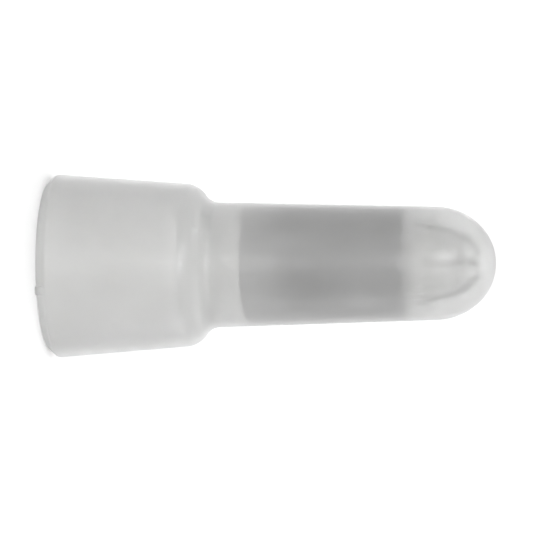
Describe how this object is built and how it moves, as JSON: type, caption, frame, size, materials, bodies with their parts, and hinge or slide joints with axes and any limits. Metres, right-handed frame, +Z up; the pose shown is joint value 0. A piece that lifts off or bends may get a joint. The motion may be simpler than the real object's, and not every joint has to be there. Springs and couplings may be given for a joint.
{
  "type": "closed end connector",
  "caption": "Closed end wire connector: a translucent insulating cap with a flared skirt and a metal crimp sleeve seated in its barrel.",
  "frame": {"origin": "middle of the open mouth, on the plane of its rim", "axes": "+Z up the axis from the mouth to the closed nose; -Y faces the picture's camera"},
  "size_m": [0.0082, 0.0082, 0.02],
  "materials": {
    "natural_nylon": "satin",
    "tinned_copper": "satin"
  },
  "bodies": {
    "root": {"insulating_cap": "natural_nylon", "crimp_sleeve": "tinned_copper"}
  },
  "joints": []
}
